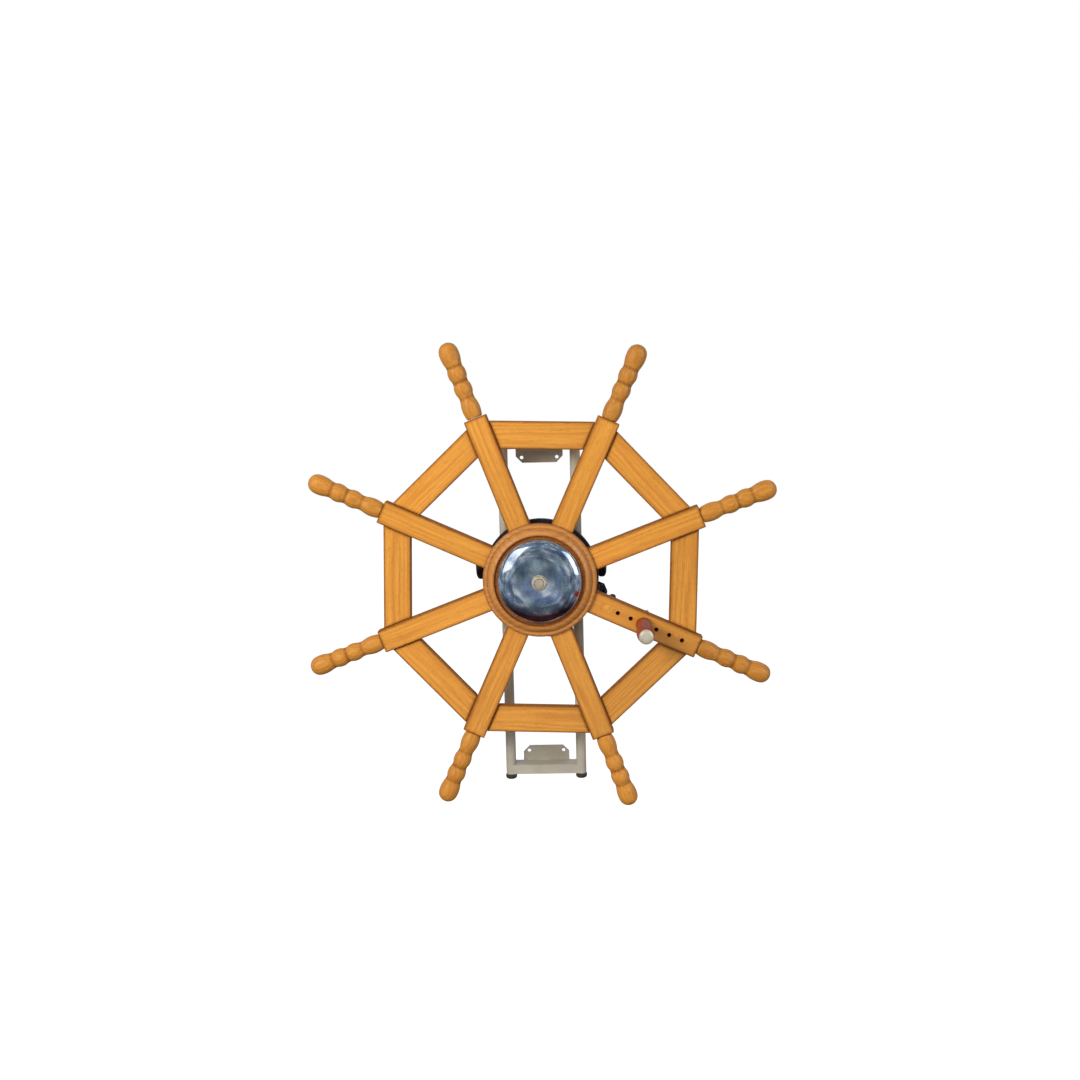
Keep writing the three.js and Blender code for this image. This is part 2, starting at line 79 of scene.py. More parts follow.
# ---------------- places, all read from the frame
def middle(name):
    """The middle of a frame node's box."""
    low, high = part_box(name)
    return (low + high) / 2


def facing(origin, direction):
    """Axes whose X runs along a direction, with Z as near to up as it can be."""
    turn = Vector(direction).to_track_quat("X", "Z").to_matrix().to_4x4()
    return Matrix.Translation(origin) @ turn


def reach(name, axes):
    """A frame node's lowest and highest corners in the given axes."""
    inverse = axes.inverted()
    points = [inverse @ v.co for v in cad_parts[name].data.vertices]
    low = Vector(min(p[i] for p in points) for i in range(3))
    high = Vector(max(p[i] for p in points) for i in range(3))
    return low, high


HUB = middle("hub_front_ring")
AXIS = Vector((HUB.x, 0, HUB.z))
AHEAD = facing(AXIS, (0, -1, 0))  # X is the distance in front of the wall
GRIP_PLACE = middle("hand_grip") - AXIS
GRIP_ANGLE = math.atan2(GRIP_PLACE.z, GRIP_PLACE.x)
GRIP_R = math.hypot(GRIP_PLACE.x, GRIP_PLACE.z)


def arm(angle):
    """Axes at the hub whose X runs out along an angle, with Y into the wall."""
    return Matrix.Translation(AXIS) @ Matrix.Rotation(-angle, 4, "Y")


def spoke_angle(number):
    return GRIP_ANGLE + (number - GRIP_SPOKE) * STEP


# ---------------- settings
def linear(colour):
    """A colour written as sRGB hex, as linear red, green, blue and alpha."""
    parts = [int(colour[i : i + 2], 16) / 255 for i in (1, 3, 5)]
    return (*[c / 12.92 if c <= 0.04045 else ((c + 0.055) / 1.055) ** 2.4 for c in parts], 1.0)


def colour_choice(name, description, default):
    return bpy.props.FloatVectorProperty(
        name=name,
        description=description,
        subtype="COLOR",
        size=4,
        min=0,
        max=1,
        default=linear(default),
    )


def length_choice(name, description, default):
    return bpy.props.FloatProperty(
        name=name,
        description=description,
        unit="LENGTH",
        subtype="DISTANCE",
        precision=5,
        default=default,
    )


def angle_choice(name, description, degrees):
    angle = math.radians(degrees)
    return bpy.props.FloatProperty(
        name=name, description=description, unit="ROTATION", subtype="ANGLE", default=angle
    )


class WheelSettings(bpy.types.PropertyGroup):
    """Sizes and colours of the wooden wheel"""

    board_round: length_choice("Board edge", "Radius of the boards' rounded edges", 1.8 * MM)
    ring_spacing: length_choice("Ring spacing", "Distance between growth rings in the wood", 5 * MM)
    handle_sides: bpy.props.IntProperty(
        name="Handle sides", description="Faces round each turned handle", default=48, min=12
    )
    light_wood: colour_choice("Light wood", "Early wood under amber varnish", "#f2ac46")
    dark_wood: colour_choice("Dark wood", "Late wood under amber varnish", "#c67424")
    # The edge stain colour is painted shade on edges, in grooves, on hole walls and in the hub's
    # channel, and a little real stain on the handles.
    shade_and_stain_wood: colour_choice("Edge stain", "Varnish gathered at edges and in grooves", "#6e340c")
    ring_light: colour_choice("Hub ring", "Early wood of the turned hub ring", "#d3964f")
    ring_dark: colour_choice("Hub ring grain", "Late wood of the turned hub ring", "#ad692e")
    grip_light: colour_choice("Hand grip", "Early wood of the stained hand grip", "#b24a1c")
    grip_dark: colour_choice("Hand grip grain", "Late wood of the stained hand grip", "#7a2c10")


class MetalSettings(bpy.types.PropertyGroup):
    """Sizes and colours of the metal and plastic pieces"""

    metal_round: length_choice("Metal edge", "Radius of the metal pieces' broken edges", 0.6 * MM)
    frame_paint: colour_choice("Frame paint", "Enamel on the tubes and wall brackets", "#c8c4b6")
    chrome: colour_choice("Chrome", "Colour of the hub dome", "#eceff4")
    chrome_cloud: colour_choice("Clouded chrome", "Colour of the dome's dull patches", "#7a889c")
    lock_knob: colour_choice("Lock knobs", "Plastic of the height lock knobs", "#17171a")
    brake_knob: colour_choice("Brake knob", "Plastic of the brake knob", "#2e2246")


class StageSettings(bpy.types.PropertyGroup):
    """Floor, light and camera"""

    floor_drop: length_choice("Floor", "Height of the wheel's axis over the floor", 1.3)
    distance: length_choice("Camera distance", "From the camera to the hub", 2.5)
    azimuth: angle_choice("Azimuth", "How far right of square on the camera stands", 2.2)
    elevation: angle_choice("Elevation", "How far the camera looks down", 8.4)
    roll: angle_choice("Roll", "Turn of the camera about its line of sight", -1.45)


def settings(group):
    return getattr(bpy.context.scene, group)


# ---------------- node tools
MIX_FACTOR, MIX_A, MIX_B, MIX_OUT = 0, 6, 7, 2  # a colour Mix node's sockets


def node(tree, kind, choices=(), values=(), links=()):
    """Adds one node: its own choices, its sockets' values, and links into its sockets."""
    made = tree.nodes.new(kind)
    for key, value in dict(choices).items():
        setattr(made, key, value)
    for key, value in dict(values).items():
        made.inputs[key].default_value = value
    for key, source in dict(links).items():
        tree.links.new(source, made.inputs[key])
    return made


def blank(name, **values):
    """A new material's node tree and its shader. Underscores in the names stand for spaces."""
    made = bpy.data.materials.new(name)
    made.use_nodes = True
    shader = made.node_tree.nodes["Principled BSDF"]
    for key, value in values.items():
        shader.inputs[key.replace("_", " ")].default_value = value
    return made, made.node_tree, shader


def per_metre(size):
    """The noise scale whose features are about as wide as a size."""
    return 1 / size


def noise(tree, place, scale, detail, **values):
    """A noise texture's outputs: first its value, then its colour."""
    values = {"Scale": scale, "Detail": detail, **values}
    return node(tree, "ShaderNodeTexNoise", {}, values, {"Vector": place}).outputs


def stretched(tree, place, factors):
    """A place with each coordinate multiplied by its own factor."""
    choices = {"operation": "MULTIPLY"}
    return node(tree, "ShaderNodeVectorMath", choices, {1: factors}, {0: place}).outputs[0]


def added(tree, value, factor, other, **choices):
    """A value times a factor, plus another value."""
    choices = {"operation": "MULTIPLY_ADD", **choices}
    return node(tree, "ShaderNodeMath", choices, {1: factor}, {0: value, 2: other}).outputs[0]


def rescaled(tree, value, low, high, to_low=0.0, to_high=1.0, kind="LINEAR"):
    """A value carried from one range to another, and held inside it."""
    ends = {"From Min": low, "From Max": high, "To Min": to_low, "To Max": to_high}
    choices = {"interpolation_type": kind}
    return node(tree, "ShaderNodeMapRange", choices, ends, {"Value": value}).outputs[0]


def mixed(tree, first, second, factor):
    """A blend of two colours, each one fixed or another node's output."""
    values, sockets = {}, {MIX_FACTOR: factor}
    for place, colour in ((MIX_A, first), (MIX_B, second)):
        fixed = isinstance(colour, tuple)
        (values if fixed else sockets)[place] = colour
    return node(tree, "ShaderNodeMix", {"data_type": "RGBA"}, values, sockets).outputs[MIX_OUT]


# ---------------- woods
def varnished_wood(name, light, dark, edge, ring, gloss):
    """Solid wood under varnish: growth rings run through the piece, so faces and end grain agree."""
    made, tree, shader = blank(name, Coat_Roughness=0.12, Specular_IOR_Level=0.35)
    link = tree.links.new
    grain = node(tree, "ShaderNodeAttribute", {"attribute_name": "grain"}).outputs["Vector"]
    # Rings wander by a few rings' width over a hand's length.
    slow = stretched(tree, grain, (0.3, 1, 1))
    wander = noise(tree, slow, per_metre(120 * MM), 2.0)["Color"]
    bent = node(
        tree,
        "ShaderNodeVectorMath",
        {"operation": "MULTIPLY_ADD"},
        {1: (0, 3.5 * ring, 3.5 * ring)},
        {0: wander, 2: grain},
    ).outputs[0]
    across = stretched(tree, bent, (0, 1, 1))
    from_pith = node(tree, "ShaderNodeVectorMath", {"operation": "LENGTH"}, {}, {0: across})
    years = node(
        tree, "ShaderNodeMath", {"operation": "DIVIDE"}, {1: ring}, {0: from_pith.outputs["Value"]}
    ).outputs[0]
    season = node(tree, "ShaderNodeMath", {"operation": "PINGPONG"}, {1: 0.5}, {0: years}).outputs[0]
    late = rescaled(tree, season, 0.05, 0.5, kind="SMOOTHSTEP")
    # Fibres are streaks about 2 mm wide and a few centimetres long, wider than real ones so they show.
    streaked = stretched(tree, bent, (per_metre(70 * MM), per_metre(2.2 * MM), per_metre(2.2 * MM)))
    fibre = noise(tree, streaked, 1.0, 4.0, Roughness=0.6)[0]
    # Pores are short dark dashes that follow the grain.
    dashed = stretched(tree, bent, (per_metre(9 * MM), per_metre(0.8 * MM), per_metre(0.8 * MM)))
    pore = rescaled(tree, noise(tree, dashed, 1.0, 1.0)[0], 0.6, 0.72)
    depth = added(tree, late, 0.28, rescaled(tree, fibre, 0.3, 0.7, -0.05, 0.5))
    figure = mixed(tree, light, dark, depth)
    # Boards from different planks differ a little in tone.
    tone = rescaled(tree, noise(tree, grain, 1.3, 1.0)[0], 0.3, 0.7, 0.84, 1.14)
    toned = node(
        tree, "ShaderNodeVectorMath", {"operation": "SCALE"}, {}, {0: figure, "Scale": tone}
    ).outputs[0]
    # The edge stain colour paints shade where a piece is shaded, and shows a little in the pores.
    shade = node(tree, "ShaderNodeAttribute", {"attribute_name": "shade"}).outputs["Fac"]
    pores_and_painted_shade = added(tree, pore, 0.35, shade, use_clamp=True)
    link(mixed(tree, toned, edge, pores_and_painted_shade), shader.inputs["Base Color"])
    # The last coat goes on the broad faces, so the edges and grooves stay duller.
    rough = rescaled(tree, fibre, 0.3, 0.7, 0.32, 0.48)
    link(added(tree, shade, 0.4, rough), shader.inputs["Roughness"])
    link(rescaled(tree, shade, 0.0, 0.5, gloss, 0.0), shader.inputs["Coat Weight"])
    sunk = added(tree, pore, -0.5, fibre)
    bump = node(tree, "ShaderNodeBump", {}, {"Strength": 0.35, "Distance": 0.15 * MM}, {"Height": sunk})
    link(bump.outputs[0], shader.inputs["Normal"])
    return made


# ---------------- metals and plastics
def speckled(name, light, dark, grit, relief, rough, cloud=45 * MM, **values):
    """A surface with a fine random relief, whose tone and gloss drift in broader clouds."""
    made, tree, shader = blank(name, **values)
    place = node(tree, "ShaderNodeTexCoord").outputs["Object"]
    grain = noise(tree, place, per_metre(grit), 3.0)[0]
    patch = noise(tree, place, per_metre(cloud), 4.0)[0]
    worn = rescaled(tree, added(tree, grain, 0.4, patch), 0.5, 0.9)
    tree.links.new(mixed(tree, light, dark, worn), shader.inputs["Base Color"])
    gloss = rescaled(tree, patch, 0.35, 0.65, rough * 0.8, rough * 1.25)
    tree.links.new(gloss, shader.inputs["Roughness"])
    bump = node(tree, "ShaderNodeBump", {}, {"Strength": 0.5, "Distance": relief}, {"Height": grain})
    tree.links.new(bump.outputs[0], shader.inputs["Normal"])
    return made


def shaded(colour, amount):
    """A colour made darker by a share of itself."""
    return (*[c * (1 - amount) for c in colour[:3]], 1.0)


def woven_lining(name):
    """Moulded brake lining: brown resin over a woven yarn about 2.5 mm apart."""
    made, tree, shader = blank(name, Roughness=0.9)
    place = node(tree, "ShaderNodeTexCoord").outputs["Object"]
    yarns = node(
        tree,
        "ShaderNodeTexWave",
        {"bands_direction": "DIAGONAL"},
        {"Scale": per_metre(2.5 * MM) / math.tau, "Distortion": 2.0, "Detail": 2.0},
        {"Vector": place},
    ).outputs["Fac"]
    colour = mixed(tree, linear("#4a3f33"), linear("#7b6c58"), yarns)
    tree.links.new(colour, shader.inputs["Base Color"])
    bump = node(tree, "ShaderNodeBump", {}, {"Distance": 0.3 * MM}, {"Height": yarns})
    tree.links.new(bump.outputs[0], shader.inputs["Normal"])
    return made


FINISHES = {}  # filled by make_finishes


def make_finishes():
    wheel, metal = settings("wheel_settings"), settings("metal_settings")
    ring = wheel.ring_spacing
    edge = tuple(wheel.shade_and_stain_wood)
    # Amber yacht varnish on beech: a warm orange with soft rings, darker where painted shade lies at
    # edges and in grooves.
    FINISHES["beech"] = varnished_wood(
        "amber_varnished_beech", tuple(wheel.light_wood), tuple(wheel.dark_wood), edge, ring, 0.45
    )
    # The hub ring is turned from a browner plank and polished: softer figure, more shine.
    FINISHES["hub_wood"] = varnished_wood(
        "polished_turned_beech", tuple(wheel.ring_light), tuple(wheel.ring_dark), edge, ring * 1.4, 0.7
    )
    # Mahogany stain on the hand grip: deep red-brown, dulled by hands.
    FINISHES["grip_wood"] = varnished_wood(
        "mahogany_stained_beech", tuple(wheel.grip_light), tuple(wheel.grip_dark), edge, ring * 0.7, 0.1
    )
    chrome, cloud = tuple(metal.chrome), tuple(metal.chrome_cloud)
    # Old chrome plate on spun steel: a hazy mirror, clouded blue-grey in patches a thumb wide.
    FINISHES["chrome"] = speckled(
        "chrome_plated_steel", chrome, cloud, 2 * MM, 0.002 * MM, 0.11, cloud=26 * MM, Metallic=1.0
    )
    # Zinc plate gone dull and cream with age: half metal, half chalky, with a broad soft gloss.
    cream, tan = linear("#eee4cf"), linear("#bdb29d")
    FINISHES["zinc"] = speckled(
        "zinc_plated_steel", cream, tan, 1.2 * MM, 0.01 * MM, 0.38, Metallic=0.4
    )
    paint = tuple(metal.frame_paint)
    # Baked grey-beige enamel: a dull sheen with slight orange peel.
    FINISHES["frame_enamel"] = speckled(
        "grey_baked_enamel", paint, shaded(paint, 0.18), 1.6 * MM, 0.03 * MM, 0.38, Coat_Weight=0.2
    )
    # Black powder coat: satin, with a fine pebble that catches the light.
    FINISHES["black_coat"] = speckled(
        "black_powder_coat", linear("#29242c"), linear("#17141a"), 0.9 * MM, 0.05 * MM, 0.48
    )
    knob = tuple(metal.lock_knob)
    # Moulded phenolic: near black, with a low gloss.
    FINISHES["phenolic"] = speckled(
        "moulded_phenolic", knob, shaded(knob, 0.3), 0.7 * MM, 0.02 * MM, 0.35
    )
    # Soft polythene end caps: a waxy olive-black, paler than the knobs.
    FINISHES["polythene"] = speckled(
        "moulded_polythene", linear("#46463a"), linear("#34342b"), 1 * MM, 0.03 * MM, 0.5
    )
    blue = tuple(metal.brake_knob)
    # Moulded nylon in dark blue-violet: smooth and dull, with a broad soft highlight.
    FINISHES["blue_nylon"] = speckled(
        "blue_moulded_nylon", blue, shaded(blue, 0.3), 0.7 * MM, 0.02 * MM, 0.5
    )
    # Sintered bronze: a brown-gold metal, pitted by its grains.
    FINISHES["bronze"] = speckled(
        "sintered_bronze", linear("#b98a4c"), linear("#7d5a2c"), 0.5 * MM, 0.04 * MM, 0.38, Metallic=1.0
    )
    # Buffer rubber: flat black with a bloom.
    FINISHES["rubber"] = speckled(
        "buffer_rubber", linear("#1b1b1b"), linear("#2a2a29"), 1 * MM, 0.04 * MM, 0.8
    )
    FINISHES["lining"] = woven_lining("woven_brake_lining")


# The frame's material slot that each finish fills.
WOODS = ("beech", "hub_wood", "grip_wood")
SHARP = math.radians(32)  # an edge that turns by more than this stays crisp
CORNER = math.radians(38)  # an edge that turns by more than this gets a small round

# A shade runs from 0, clear varnish, to 1, the edge stain colour: painted shade at edges, in grooves, on
# hole walls and in the hub's channel, and on the handles a little real stain.
HOLE_SHADE = 1.0
HANDLE_STAIN = 0.14
EDGE_SHADE = 0.7
EDGE_FADE = [(1.4 * MM, 0.35), (5 * MM, 0)]  # steps in from a board's edge, and the shade after each
GROOVE_REACH = 9 * MM  # swells this close on both sides make a groove
GROOVE_DEPTH = 4 * MM  # a groove this deep is fully shaded


# ---------------- meshes
def mesh_of(name, work):
    """A mesh with the shape of a bmesh, which is used up."""
    mesh = bpy.data.meshes.new(name)
    work.to_mesh(mesh)
    work.free()
    return mesh


def placed(name, data):
    """A new object in the scene."""
    made = bpy.data.objects.new(name, data)
    bpy.context.scene.collection.objects.link(made)
    return made


def settle(name, body, finish, cad_nodes, work, axes, grain_axes=None):
    """Turns a bmesh in its own axes into a finished piece that rides on a body for some CAD nodes."""
    shade = work.verts.layers.float.get("shade")
    bmesh.ops.recalc_face_normals(work, faces=work.faces)
    mesh = mesh_of(name, work)
    if finish in WOODS:
        lay_grain(mesh, name, grain_axes or Matrix.Identity(4), shade is None)
    mesh.transform(axes)
    mesh.polygons.foreach_set("use_smooth", [True] * len(mesh.polygons))
    mesh.set_sharp_from_angle(angle=SHARP)
    mesh.materials.append(FINISHES[finish])
    piece = placed(name, mesh)
    flat = piece.modifiers.new("flat faces stay flat", "WEIGHTED_NORMAL")
    flat.keep_sharp = True
    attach(piece, body)
    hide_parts(*cad_nodes)
    return piece


def lay_grain(mesh, name, grain_axes, needs_shade):
    """Stores where each vertex lay in its own plank, with the pith off to one side."""
    pick = random.Random(name)
    pith = Vector((pick.uniform(0, 9), pick.uniform(18, 42) * MM, pick.uniform(-16, 16) * MM))
    places = [grain_axes @ vertex.co for vertex in mesh.vertices]
    centre = sum(places, Vector()) / len(places)
    grain = mesh.attributes.new("grain", "FLOAT_VECTOR", "POINT")
    flat = []
    for place in places:
        flat.extend(place - centre + pith)
    grain.data.foreach_set("vector", flat)
    if needs_shade:
        mesh.attributes.new("shade", "FLOAT", "POINT")


def curve(points, steps=6):
    """A smooth line through [x, y] points, with a few steps between each two."""
    line = []
    for i in range(len(points) - 1):
        p0 = Vector(points[max(i - 1, 0)])
        p1, p2 = Vector(points[i]), Vector(points[i + 1])
        p3 = Vector(points[min(i + 2, len(points) - 1)])
        for k in range(steps):
            t = k / steps
            bend = 2 * p1 + (p2 - p0) * t + (2 * p0 - 5 * p1 + 4 * p2 - p3) * t * t
            line.append(tuple((bend + (3 * p1 - p0 - 3 * p2 + p3) * t**3) / 2))
    return [*line, tuple(points[-1])]


def concavity(profile, index):
    """How deep a profile point sits in a groove, from 0 to 1, by the swells on both sides of it."""
    along, radius = profile[index]
    before = max(r for a, r in profile[: index + 1] if along - a < GROOVE_REACH)
    after = max(r for a, r in profile[index:] if a - along < GROOVE_REACH)
    return min(1, (min(before, after) - radius) / GROOVE_DEPTH)


def turned(profile, sides=64, outline=None, shade_grooves=False):
    """A mesh turned about X from (x, radius) points. An outline limits the radius at each angle.

    A profile that starts and ends on the axis is a solid, and any other is closed into a ring.
    """
    work = bmesh.new()
    shade = work.verts.layers.float.new("shade")
    rings = []
    for index, (along, radius) in enumerate(profile):
        # A point deep in a groove gets painted shade.
        depth = concavity(profile, index) if shade_grooves else 0
        if radius < ON_AXIS:
            ring = [work.verts.new((along, 0, 0))]
        else:
            ring = []
            for k in range(sides):
                angle = math.tau * k / sides
                r = min(radius, outline(angle)) if outline else radius
                ring.append(work.verts.new((along, r * math.cos(angle), r * math.sin(angle))))
        for vertex in ring:
            vertex[shade] = depth
        rings.append(ring)
    if len(rings[0]) > 1:
        rings.append(rings[0])
    for first, second in zip(rings, rings[1:]):
        for k in range(sides):
            corners = [first[k % len(first)], first[(k + 1) % len(first)]]
            corners += [second[(k + 1) % len(second)], second[k % len(second)]]
            unique = list(dict.fromkeys(corners))
            if len(unique) > 2:
                work.faces.new(unique)
    return work


def hexagon(flat):
    """The radius at each angle of a hexagon with that distance from its middle to a flat."""
    return lambda angle: flat / math.cos((angle % (math.tau / 6)) - math.tau / 12)


def lobes(count, radius, dip):
    """The radius at each angle of a knob with rounded lobes."""
    return lambda angle: radius * (1 - dip * (0.5 - 0.5 * math.cos(count * angle)) ** 1.3)


def extruded(outline, back, front):
    """A flat board with its outline in X and Z and its faces at two depths in Y."""
    work = bmesh.new()
    near = [work.verts.new((x, front, z)) for x, z in outline]
    far = [work.verts.new((x, back, z)) for x, z in outline]
    work.faces.new(near)
    work.faces.new(far[::-1])
    for i in range(len(outline)):
        j = (i + 1) % len(outline)
        work.faces.new((near[j], near[i], far[i], far[j]))
    bmesh.ops.recalc_face_normals(work, faces=work.faces)
    return work


def soften(work, edges, width, segments):
    """Rounds edges off without letting the rounds run into each other."""
    shape = {"segments": segments, "profile": 0.5, "clamp_overlap": True}
    bmesh.ops.bevel(work, geom=edges, offset=width, affect="EDGES", **shape)


def rounded_board(outline, back, front, radius):
    """A board with rounded edges, whose painted shade is darkest at its edges and fades inwards."""
    work = extruded(outline, back, front)
    soften(work, work.edges[:], radius, 4)
    shade = work.verts.layers.float.new("shade")
    for vertex in work.verts:
        vertex[shade] = EDGE_SHADE
    broad = sorted(work.faces, key=lambda f: f.calc_area())[-2:]
    for width, darkness in EDGE_FADE:
        bmesh.ops.inset_individual(work, faces=broad, thickness=width)
        for face in broad:
            for vertex in face.verts:
                vertex[shade] = darkness
    return work


def drilled(piece, cutters):
    """Cuts holes in a piece with a list of cutter meshes, and removes the cutters."""
    for work, axes in cutters:
        mesh = mesh_of("cutter", work)
        mesh.transform(axes)
        cutter = placed("cutter", mesh)
        cut = piece.modifiers.new("hole", "BOOLEAN")
        cut.object = cutter
        cut.solver = "EXACT"
        with bpy.context.temp_override(object=piece, active_object=piece):
            bpy.ops.object.modifier_apply(modifier=cut.name)
        bpy.data.objects.remove(cutter)
    piece.data.set_sharp_from_angle(angle=SHARP)


def darken_holes(piece, axes, centres, radius, front, back):
    """Paints dark shade on the walls of holes along Y, face by face, so no dark runs onto the board."""
    mesh = piece.data
    to_board = axes.inverted()
    old = [value.value for value in mesh.attributes["shade"].data]
    mesh.attributes.remove(mesh.attributes["shade"])
    shade = mesh.attributes.new("shade", "FLOAT", "CORNER")
    for polygon in mesh.polygons:
        place = to_board @ polygon.center
        inside = front + TOUCH < place.y < back - TOUCH
        in_hole = inside and any(math.hypot(place.x - x, place.z) < radius for x in centres)
        for corner in polygon.loop_indices:
            own = old[mesh.loops[corner].vertex_index]
            shade.data[corner].value = HOLE_SHADE if in_hole else own


def refined(name, body, finish, width=None):
    """A frame node's own shape, welded, with its sharp edges broken by a small round."""
    width = width or settings("metal_settings").metal_round
    work = bmesh.new()
    work.from_mesh(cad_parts[name].data)
    bmesh.ops.remove_doubles(work, verts=work.verts, dist=TOUCH)
    bmesh.ops.dissolve_limit(
        work, angle_limit=math.radians(1), verts=work.verts, edges=work.edges, delimit=set()
    )
    bmesh.ops.recalc_face_normals(work, faces=work.faces)
    sharp = [e for e in work.edges if e.is_manifold and e.calc_face_angle(0) > CORNER]
    soften(work, sharp, width, 2)
    return settle("fine_" + name, body, finish, [name], work, Matrix.Identity(4))


def threaded(start, end, radius, pitch):
    """The profile of a screw between two places along X, with a ring for each turn of its thread."""
    root = radius - 0.6 * pitch
    line = []
    for i in range(int((end - start) / pitch)):
        along = start + i * pitch
        line += [(along, root), (along + pitch / 2, radius)]
    return [(start - 0.1 * MM, 0), *line, (end, root), (end, 0)]


def bead(name, body, finish, cad_node, start, end, radius):
    """A weld bead: a row of overlapping ripples between two points."""
    axes = facing(start, end - start)
    length = (end - start).length
    ripple, fine = 3.2 * MM, 6
    steps = max(4, round(length / ripple)) * fine
    line = []
    for i in range(steps + 1):
        share = i / steps
        swell = 0.86 + 0.14 * abs(math.sin(math.pi * i / fine))
        line.append((share * length, radius * swell * min(1, 8 * min(share, 1 - share) + 0.35)))
    profile = [(-0.3 * radius, 0), *line, (length + 0.3 * radius, 0)]
    return settle(name, body, finish, [cad_node], turned(profile, 16), axes)


# ---------------- the wheel
def build_spokes():
    radius = settings("wheel_settings").board_round
    for number in range(1, 9):
        axes = arm(spoke_angle(number))
        low, high = reach(f"spoke_{number}", axes)
        outline = [(low.x, low.z), (high.x, low.z), (high.x, high.z), (low.x, high.z)]
        work = rounded_board(outline, high.y, low.y, radius)
        piece = settle(f"spoke_board_{number}", "wheel", "beech", [f"spoke_{number}"], work, axes)
        if number == GRIP_SPOKE:
            drill_spoke(piece, axes, low.y, high.y)


def drill_spoke(piece, axes, front, back):
    """The row of grip holes, countersunk at both faces.

    The grip's own hole goes through. The others are stopped by a thin web halfway, and their walls and
    web are painted dark as shade, so they look dark.
    """
    sink = 0.7 * MM
    over = 3 * MM
    thick = back - front
    web = 1 * MM
    mouth = [(-over, 0), (-over, HOLE_R + sink + over), (sink, HOLE_R)]
    exit_mouth = [(thick - x, r) for x, r in reversed(mouth)]
    blind = thick / 2 - web
    front_half = [*mouth, (blind, HOLE_R), (blind, 0)]
    back_half = [(thick - x, r) for x, r in reversed(front_half)]
    centres = [GRIP_R + (i - GRIP_HOLE) * HOLE_PITCH for i in range(HOLES)]
    cutters = []
    for i, along in enumerate(centres):
        place = axes @ Matrix.Translation((along, front, 0)) @ Matrix.Rotation(math.pi / 2, 4, "Z")
        profiles = [[*mouth, *exit_mouth]] if i == GRIP_HOLE else [front_half, back_half]
        cutters += [(turned(profile, 32), place) for profile in profiles]
    drilled(piece, cutters)
    darken_holes(piece, axes, centres, HOLE_R + sink, front, back)


def build_rim():
    radius = settings("wheel_settings").board_round
    low, high = reach("spoke_1", arm(spoke_angle(1)))
    half_spoke = high.z + GLUE_GAP / 2
    for number in range(1, 9):
        axes = arm(spoke_angle(number) + STEP / 2)
        low, high = reach(f"rim_board_{number}", axes)
        # Each end stops at the side of a spoke half a step away.
        inner, outer = (
            x * math.tan(STEP / 2) - half_spoke / math.cos(STEP / 2) for x in (low.x, high.x)
        )
        outline = [(low.x, -inner), (high.x, -outer), (high.x, outer), (low.x, inner)]
        work = rounded_board(outline, high.y, low.y, radius)
        along_z = Matrix.Rotation(math.pi / 2, 4, "Y")
        settle(f"rim_plank_{number}", "wheel", "beech", [f"rim_board_{number}"], work, axes, along_z)


# Places along a handle from the spoke's end, and its radius there, in millimetres.
HANDLE_CURVE = [(0.4, 12.6), (2, 14.2), (8, 15.7), (17, 16.7), (26, 16.0), (34, 14.1), (39.5, 13.5)]
HANDLE_CURVE += [(45, 14.3), (50.5, 16.0), (56, 16.4), (61.5, 15.9), (66, 14.4), (69.5, 13.9)]
HANDLE_CURVE += [(74, 14.6), (79.5, 16.4), (85, 16.9), (90, 16.5), (94.5, 15.1), (98, 14.6)]
HANDLE_CURVE += [(103, 15.4), (112, 17.5), (121, 18.1), (129.5, 17.2), (136.5, 14.0), (141, 8.6)]
HANDLE_CURVE += [(142.8, 3.4), (143, 0)]


def build_handles():
    sides = settings("wheel_settings").handle_sides
    for number in range(1, 9):
        axes = arm(spoke_angle(number))
        spoke_end = reach(f"spoke_{number}", axes)[1].x
        low, high = reach(f"handle_{number}", axes)
        stretch = (high.x - spoke_end) / HANDLE_CURVE[-1][0]
        line = curve([(x * stretch, r * MM) for x, r in HANDLE_CURVE], 4)
        profile = [(line[0][0], 0), *line]
        place = axes @ Matrix.Translation((spoke_end, (low.y + high.y) / 2, 0))
        # Grooves get painted shade, and the whole handle a little brown stain.
        work = turned(profile, sides, shade_grooves=True)
        shade = work.verts.layers.float["shade"]
        for vertex in work.verts:
            vertex[shade] += HANDLE_STAIN
        settle(f"turned_handle_{number}", "wheel", "beech", [f"handle_{number}"], work, place)


